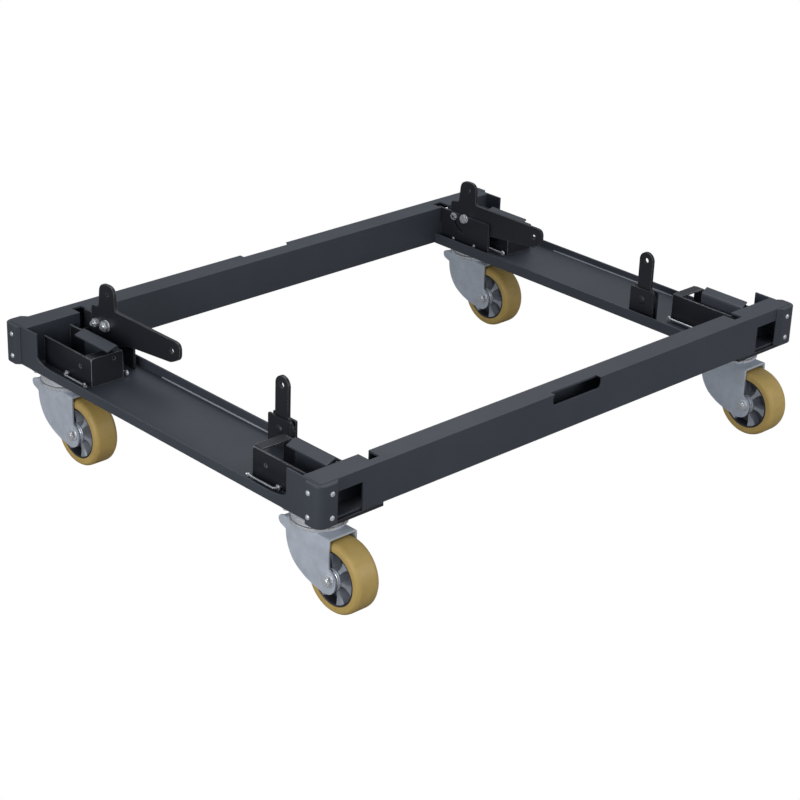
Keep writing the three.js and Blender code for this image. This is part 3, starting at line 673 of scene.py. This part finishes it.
SPOKES = 6
SPOKE_START = math.radians(9)
SPOKE_STATIONS = ((18.5, 4.4, 20.5), (24, 4.2, 19.6), (31, 5.0, 19.6), (39, 7.6, 21.0), (45.2, 10.4, 22.6))
SPOKE_SECTION = ((-1, -0.72), (-0.86, -1), (0.86, -1), (1, -0.72),
                 (1, 0.72), (0.86, 1), (-0.86, 1), (-1, 0.72))


def build_core(prefix, axle):
    """Cast core: rim, hub and thin web as turned rings, with tapered spokes standing on both faces. The
    rim's inside and the web take a darker copy of the alloy, painted shade in the recess.
    """
    place = axis_frame(axle, (1, 0, 0))
    bm = bmesh.new()
    half = HALF_WHEEL / MM
    rim = RIM / MM
    rim_side = in_mm([(44, -5), (44.4, -half + 3), (45, -half + 1.2), (46, -half + 0.6),
                      (rim - 0.6, -half + 0.6), (rim, -half + 1.4)])
    add_lathe(bm, mirrored_profile(rim_side), place, 72)
    web_side = in_mm([(15, -3.4), (24, -2.8), (40, -3.2), (44.5, -5)])
    add_lathe(bm, mirrored_profile(web_side), place, 72)
    mesh = finish_mesh(bm, f"{prefix}_core_recess", 30)
    new_object(f"{prefix}_core_recess", mesh, SHADED_CORE_RECESS, f"{prefix}_wheel")
    bm = bmesh.new()
    hub_side = in_mm([(15, -half + 1), (15.2, -half - 0.2), (18.6, -half - 0.2), (19.4, -half + 0.6),
                      (20.4, -3)])
    add_lathe(bm, mirrored_profile(hub_side), place, 60)
    for k in range(SPOKES):
        add_spoke(bm, axle, SPOKE_START + TAU * k / SPOKES)
    name = f"{prefix}_core_casting"
    mesh = finish_mesh(bm, name, 30)
    new_object(name, mesh, CAST_CORE, f"{prefix}_wheel", [f"{prefix}_wheel_core"])
    build_bearing(prefix, place)


def add_spoke(bm, axle, angle):
    """A rib from hub to rim on both faces of the web. Each station is (reach, half width, depth) in mm."""
    along = Vector((0, math.cos(angle), math.sin(angle)))
    across = Vector((0, -math.sin(angle), math.cos(angle)))
    out = Vector((1, 0, 0))
    loops = []
    for reach, half_width, depth in SPOKE_STATIONS:
        corners = []
        for x, w in SPOKE_SECTION:
            corners.append(bm.verts.new(axle + along * reach * MM + across * half_width * w * MM
                                        + out * depth * x * MM))
        loops.append(corners)
    for low, high in zip(loops, loops[1:]):
        join_rings(bm, low, high)
    bm.faces.new(loops[0])
    bm.faces.new(loops[-1])


def build_bearing(prefix, place):
    """Bearing rings and dust seals in the hub, on both faces."""
    bm = bmesh.new()
    for side in (-1, 1):
        face = HALF_WHEEL / MM + 1.2
        back = HALF_WHEEL / MM - 4
        rings = [(14.9, back), (14.9, face - 0.4), (14.4, face), (12.8, face), (12.5, face - 0.5),
                 (12.3, face - 0.7), (9.2, face - 0.7), (9, face - 0.2), (8.8, face), (6.6, face),
                 (6.3, face - 0.4), (6.3, back), (14.9, back)]
        add_lathe(bm, in_mm([(radius, side * across) for radius, across in rings]), place, 60)
    mesh = finish_mesh(bm, f"{prefix}_bearing", 30)
    new_object(f"{prefix}_bearing", mesh, BRIGHT_ZINC, f"{prefix}_wheel")


def build_tyre(prefix, axle, radius):
    """Bonded tread: flat sides, long bevelled shoulders and a fine mould line round the middle."""
    place = axis_frame(axle, (1, 0, 0))
    inner = RIM / MM + 0.05
    half = HALF_WHEEL / MM
    r = radius / MM
    side = in_mm([(inner, -half + 1.6), (inner + 0.6, -half + 0.3), (inner + 1.6, -half),
                  (r - 6.4, -half), (r - 5.2, -half + 0.25), (r - 4.2, -half + 0.8),
                  (r - 1.9, -half + 3.6), (r - 0.9, -half + 5.2), (r - 0.35, -half + 7),
                  (r - 0.08, -half + 9.5), (r - 0.02, -0.7), (r, -0.3)])
    bm = bmesh.new()
    add_lathe(bm, mirrored_profile(side), place, 128)
    mesh = finish_mesh(bm, f"{prefix}_tread", 40)
    new_object(f"{prefix}_tread", mesh, MUSTARD, f"{prefix}_wheel", [f"{prefix}_tyre"])


def build_castor(prefix):
    """One castor. The wheel's distance along Y from the swivel gives the fork its trail."""
    swivel = middle(f"{prefix}_castor_base")
    axle = middle(f"{prefix}_tyre")
    low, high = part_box(f"{prefix}_tyre")
    wheel = axle.y - swivel.y
    build_fork(prefix, swivel, wheel, axle.z)
    build_castor_base(prefix, swivel)
    build_axle(prefix, axle)
    build_core(prefix, axle)
    build_tyre(prefix, axle, (high.z - low.z) / 2)


# Small hardware ---------------------------------------------------------------------------------------

SCREW_HEAD = 2.2 * MM
SCREW_SUNK = 0.1 * MM
CAP_SIDE_PROUD = 8.7 * MM
CAP_END_PROUD = 10.5 * MM
CAP_CORNER = 20 * MM
CAP_SCREW = 4.4 * MM
CAP_SCREW_DROPS = (17 * MM, 59.5 * MM)
SIDE_SCREW_INSET = 27.2 * MM
END_SCREW_INSET = 27.5 * MM


def build_cap(prefix, sx, sy):
    """Plate bent round the corner with ramped ends, and two button screws through each face."""
    low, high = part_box(f"{prefix}_corner_cap")
    face_x = (high.x if sx > 0 else low.x) - sx * SCREW_HEAD
    face_y = (high.y if sy > 0 else low.y) - sy * SCREW_HEAD
    side_end = low.y if sy > 0 else high.y
    front_end = low.x if sx > 0 else high.x
    inside_x, inside_y = face_x - sx * CAP_SIDE_PROUD, face_y - sy * CAP_END_PROUD
    corner = quadratic((0, CAP_CORNER), (0, 0), (CAP_CORNER, 0), 12)
    outline = [(inside_x, side_end), (face_x, side_end + sy * CAP_SIDE_PROUD),
               (face_x, face_y - sy * CAP_CORNER)]
    outline += [(face_x - sx * x, face_y - sy * y) for x, y in corner]
    outline += [(front_end + sx * CAP_END_PROUD, face_y), (front_end, inside_y), (inside_x, inside_y)]
    bm = bmesh.new()
    rings = [[bm.verts.new((x, y, z)) for x, y in outline] for z in (low.z, high.z)]
    join_rings(bm, *rings)
    bm.faces.new(rings[0])
    bm.faces.new(rings[1])
    name = f"{prefix}_cap_plate"
    mesh = finish_mesh(bm, name, 30)
    piece = new_object(name, mesh, FRAME_PAINT, "frame", [f"{prefix}_corner_cap"])
    add_bevel(piece, 1.4 * MM, 3, 30)
    bm = bmesh.new()
    for drop in CAP_SCREW_DROPS:
        z = high.z - drop
        side = (face_x - sx * SCREW_SUNK, face_y - sy * SIDE_SCREW_INSET, z)
        end = (face_x - sx * END_SCREW_INSET, face_y - sy * SCREW_SUNK, z)
        add_button_screw(bm, side, (sx, 0, 0), CAP_SCREW, SCREW_HEAD)
        add_button_screw(bm, end, (0, sy, 0), CAP_SCREW, SCREW_HEAD)
    mesh = finish_mesh(bm, f"{prefix}_cap_screws", 30)
    new_object(f"{prefix}_cap_screws", mesh, BRIGHT_ZINC, "frame")


TRAY_SHEET = 4 * MM
FILLET = 2 * MM
# The painted highlight along the bends runs only this far in front of and behind the tray's middle.
FILLET_FRONT = 148 * MM
FILLET_REAR = 180 * MM


def build_bends(side):
    """Pale fillets along the two inside bends of the tray: a painted highlight where the bends catch the
    light.
    """
    low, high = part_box(f"{side}_tray")
    floor = low.z + TRAY_SHEET
    centre_y = (low.y + high.y) / 2
    ends = (centre_y - FILLET_FRONT, centre_y + FILLET_REAR)
    bm = bmesh.new()
    for wall, inward in ((low.x + TRAY_SHEET, 1), (high.x - TRAY_SHEET, -1)):
        profile = [(wall, floor)]
        for k in range(6):
            angle = math.pi / 2 * k / 5
            profile.append((wall + inward * FILLET * (1 - math.sin(angle)),
                            floor + FILLET * (1 - math.cos(angle))))
        rings = [[bm.verts.new((x, end, z)) for x, z in profile] for end in ends]
        join_rings(bm, *rings)
        bm.faces.new(rings[0])
        bm.faces.new(rings[1])
    mesh = finish_mesh(bm, f"{side}_tray_bends", 25)
    new_object(f"{side}_tray_bends", mesh, BEND_HIGHLIGHT_PAINT, "frame")


BAIL_WIRE = 2 * MM
BAIL_BEND = 7 * MM
BAIL_EYE = 3.3 * MM
BAIL_SIDE_GAP = 1.6 * MM


def build_bail(prefix, sx, sy):
    """Wire bail: a cross rod with rounded corners, its inner end headed like a rivet, its outer end
    rolled into an eye."""
    low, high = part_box(f"{prefix}_bail")
    inner, outer = low.x + BAIL_SIDE_GAP, high.x - BAIL_SIDE_GAP
    if sx < 0:
        inner, outer = outer, inner
    z = (low.z + high.z) / 2
    pivot = (high.y if sy > 0 else low.y) - sy * BAIL_WIRE
    eye = (low.y if sy > 0 else high.y) + sy * 5.2 * MM
    ahead = Vector((0, sy, 0))
    up = Vector((0, 0, 1))
    end = Vector((outer, eye, z))

    def corner(x, outward):
        centre = (x - outward * BAIL_BEND, pivot - sy * BAIL_BEND, z)
        return arc_points(centre, 0, math.pi / 2, (outward, 0, 0), ahead, BAIL_BEND, 8)

    outer_run = arc_points(end, math.radians(-200), math.radians(90), ahead, up, BAIL_EYE, 18)
    outer_run += [end + ahead * 4 * MM + up * BAIL_EYE * 0.4, end + ahead * 8 * MM]
    outer_run += corner(outer, sx)
    inner_run = [Vector((inner, eye, z)), Vector((inner, eye + sy * 8 * MM, z))]
    inner_run += corner(inner, -sx)
    bm = bmesh.new()
    add_sweep(bm, outer_run + list(reversed(inner_run)), BAIL_WIRE, 12)
    washer = axis_frame((outer - sx * 8 * MM, pivot, z), (1, 0, 0))
    for x in (0, outer - inner - sx * 16 * MM):
        add_washer(bm, washer, 1.9 * MM, 5 * MM, -x - 0.8 * MM, -x + 0.8 * MM, 24)
    rivet = in_mm([(0, -1.6), (4.2, -1.6), (5, -1), (5.1, 0), (5, 1), (4.2, 1.6), (0, 1.6)])
    add_lathe(bm, rivet, axis_frame((inner, eye, z), (-1, 0, 0)), 28)
    name = f"{prefix}_bail_wire"
    mesh = finish_mesh(bm, name, 50)
    new_object(name, mesh, BRIGHT_ZINC, f"{prefix}_bail", [f"{prefix}_bail"])


LINK_SHEET = 7 * MM
PIVOT_SHANK = 5.8 * MM
STUD_SHANK = 4.3 * MM
STUD_HEX = 14.2 * MM
INDEX_STUD = Vector((0, 29.8 * MM, -2.5 * MM))


def link_pivot(side):
    """Where the swing link's hinge axis stands."""
    joint = next(j for j in frame["joints"] if j["name"] == f"rear_{side}_link_swing")
    return Vector(joint["pos_m"])


def build_pivot_bolts(side, sx):
    """The swing link's pivot bolt with its nut, and the finer heads of the link's index stud."""
    low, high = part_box(f"rear_{side}_link_wall_plate")
    outer, inner = (high.x, low.x) if sx > 0 else (low.x, high.x)
    link_face = outer + sx * LINK_SHEET
    nut_face = inner - sx * 0.3 * MM
    pivot = link_pivot(side)
    bolt = bmesh.new()
    out = axis_frame((link_face + sx * 0.5 * MM, pivot.y, pivot.z), (sx, 0, 0))
    back = axis_frame((nut_face, pivot.y, pivot.z), (-sx, 0, 0))
    for place, width, tall in ((out, 18.4 * MM, 9 * MM), (back, 16.6 * MM, 6.4 * MM)):
        add_washer(bolt, place, 6 * MM, width * 0.58, 0, 1.2 * MM, 40)
        add_hex(bolt, place, width, 1.1 * MM, tall, 1.2 * MM)
    add_thread(bolt, out, PIVOT_SHANK, 2 * MM, 12.8 * MM)
    shank = sorted((inner - sx * 3 * MM - pivot.x, link_face + sx * 1 * MM - pivot.x))
    add_rod(bolt, axis_frame(pivot, (1, 0, 0)), PIVOT_SHANK, *shank)
    node = f"rear_{side}_pivot_bolt"
    mesh = finish_mesh(bolt, f"{node}_detail", 30)
    new_object(f"{node}_detail", mesh, BRIGHT_ZINC, "frame", [node])
    stud = bmesh.new()
    spot = pivot + INDEX_STUD
    out = axis_frame((link_face, spot.y, spot.z), (sx, 0, 0))
    back = axis_frame((nut_face, spot.y, spot.z), (-sx, 0, 0))
    add_hex(stud, out, STUD_HEX, 0, 8.2 * MM, 1.1 * MM)
    add_thread(stud, out, STUD_SHANK, 7 * MM, 14.2 * MM)
    add_hex(stud, back, STUD_HEX, 0, 4.9 * MM, 0.9 * MM)
    add_lathe(stud, in_mm([(3.2, 4.8), (5.2, 4.8), (5, 5.6), (3.4, 5.6), (3.2, 4.8)]), back, 32)
    mesh = finish_mesh(stud, f"rear_{side}_index_heads", 30)
    new_object(f"rear_{side}_index_heads", mesh, BRIGHT_ZINC, f"rear_{side}_link")


TAB_PIN_SHANK = 5.9 * MM


def build_tab_pin(side):
    """Clevis pin with the same domed head at both ends."""
    node = f"front_{side}_tab_pin"
    low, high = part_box(node)
    half = (high.x - low.x) / 2
    bm = bmesh.new()
    place = axis_frame(middle(node), (1, 0, 0))
    head = [(0, half), (4 * MM, half - 0.2 * MM), (7.4 * MM, half - 1.1 * MM), (8.8 * MM, half - 2.4 * MM),
            (8.9 * MM, half - 3.6 * MM), (6 * MM, half - 3.7 * MM)]
    for flip in (1, -1):
        add_lathe(bm, [(r, z * flip) for r, z in head], place, 48)
    add_rod(bm, place, TAB_PIN_SHANK, -half + 2 * MM, half - 2 * MM)
    mesh = finish_mesh(bm, f"{node}_detail", 30)
    new_object(f"{node}_detail", mesh, DARK_PAINT, "frame", [node])


PLATE_SCREW = 3.4 * MM
PLATE_SCREW_HEAD = 2.4 * MM
PLATE_SCREW_SPREAD = 30.5 * MM
PLATE_SCREW_RISE = 12 * MM


def build_wall_plate_screws(side, sx):
    """Screws along the foot of the link's wall plate, on its inner face."""
    low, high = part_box(f"rear_{side}_link_wall_plate")
    face = low.x if sx > 0 else high.x
    bm = bmesh.new()
    for offset in (-PLATE_SCREW_SPREAD, PLATE_SCREW_SPREAD):
        spot = (face + sx * 0.2 * MM, link_pivot(side).y + offset, low.z + PLATE_SCREW_RISE)
        add_button_screw(bm, spot, (-sx, 0, 0), PLATE_SCREW, PLATE_SCREW_HEAD)
    mesh = finish_mesh(bm, f"rear_{side}_plate_screws", 30)
    new_object(f"rear_{side}_plate_screws", mesh, BRIGHT_ZINC, "frame")


# Build --------------------------------------------------------------------------------------------------

make_camera()
make_stage()
# Each coat's second colour tints its edges: a painted highlight with a little wear, brightest on the box
# brackets.
FRAME_PAINT = powder_coat("frame_powder_coat", (0.050, 0.057, 0.071), (0.16, 0.175, 0.20), 0.46, 0.0013)
# Pale paint on the tray's bend fillets: a painted highlight.
BEND_HIGHLIGHT_PAINT = powder_coat("bend_highlight_paint", (0.30, 0.31, 0.34), (0.40, 0.41, 0.44), 0.36, 0.0013)
DARK_PAINT = powder_coat("bracket_paint", (0.019, 0.020, 0.025), (0.26, 0.27, 0.29), 0.42, 0.0016)
BOX_PAINT = powder_coat("box_paint", (0.017, 0.018, 0.023), (0.62, 0.64, 0.68), 0.40, 0.0018)
BRIGHT_ZINC = zinc_plate("bright_zinc", (0.84, 0.86, 0.89), 0.6, 0.30)
FORK_ZINC = zinc_plate("pressed_zinc", (0.56, 0.605, 0.68), 0.12, 0.44)
CAST_CORE = cast_metal("cast_core", (0.50, 0.53, 0.58), 0.40)
# A darker copy of the core alloy: painted shade in the wheel's recess.
SHADED_CORE_RECESS = cast_metal("cast_core_painted_shade", (0.055, 0.060, 0.075), 0.48)
MUSTARD = polyurethane("mustard_polyurethane", (0.60, 0.415, 0.130))

for end, _ in ENDS:
    soften(f"{end}_beam", FRAME_PAINT, 1.6 * MM, 3)
for side, sx in SIDES:
    soften(f"{side}_tray", FRAME_PAINT, 0.9 * MM)
    build_bends(side)
    soften(f"rear_{side}_swing_link", DARK_PAINT, 0.7 * MM)
    soften(f"rear_{side}_link_wall_plate", DARK_PAINT, 0.5 * MM)
    soften(f"front_{side}_link_tab", DARK_PAINT, 0.7 * MM)
    soften(f"front_{side}_tab_clevis", DARK_PAINT, 0.4 * MM)
    build_pivot_bolts(side, sx)
    build_tab_pin(side)
    build_wall_plate_screws(side, sx)
for prefix, sx, sy in CORNERS:
    soften(f"{prefix}_step_plate", DARK_PAINT, 0.8 * MM)
    soften(f"{prefix}_box_bracket", BOX_PAINT, 0.5 * MM)
    soften(f"{prefix}_guide_plate", FRAME_PAINT, 0.6 * MM)
    build_cap(prefix, sx, sy)
    build_bail(prefix, sx, sy)
    build_castor(prefix)
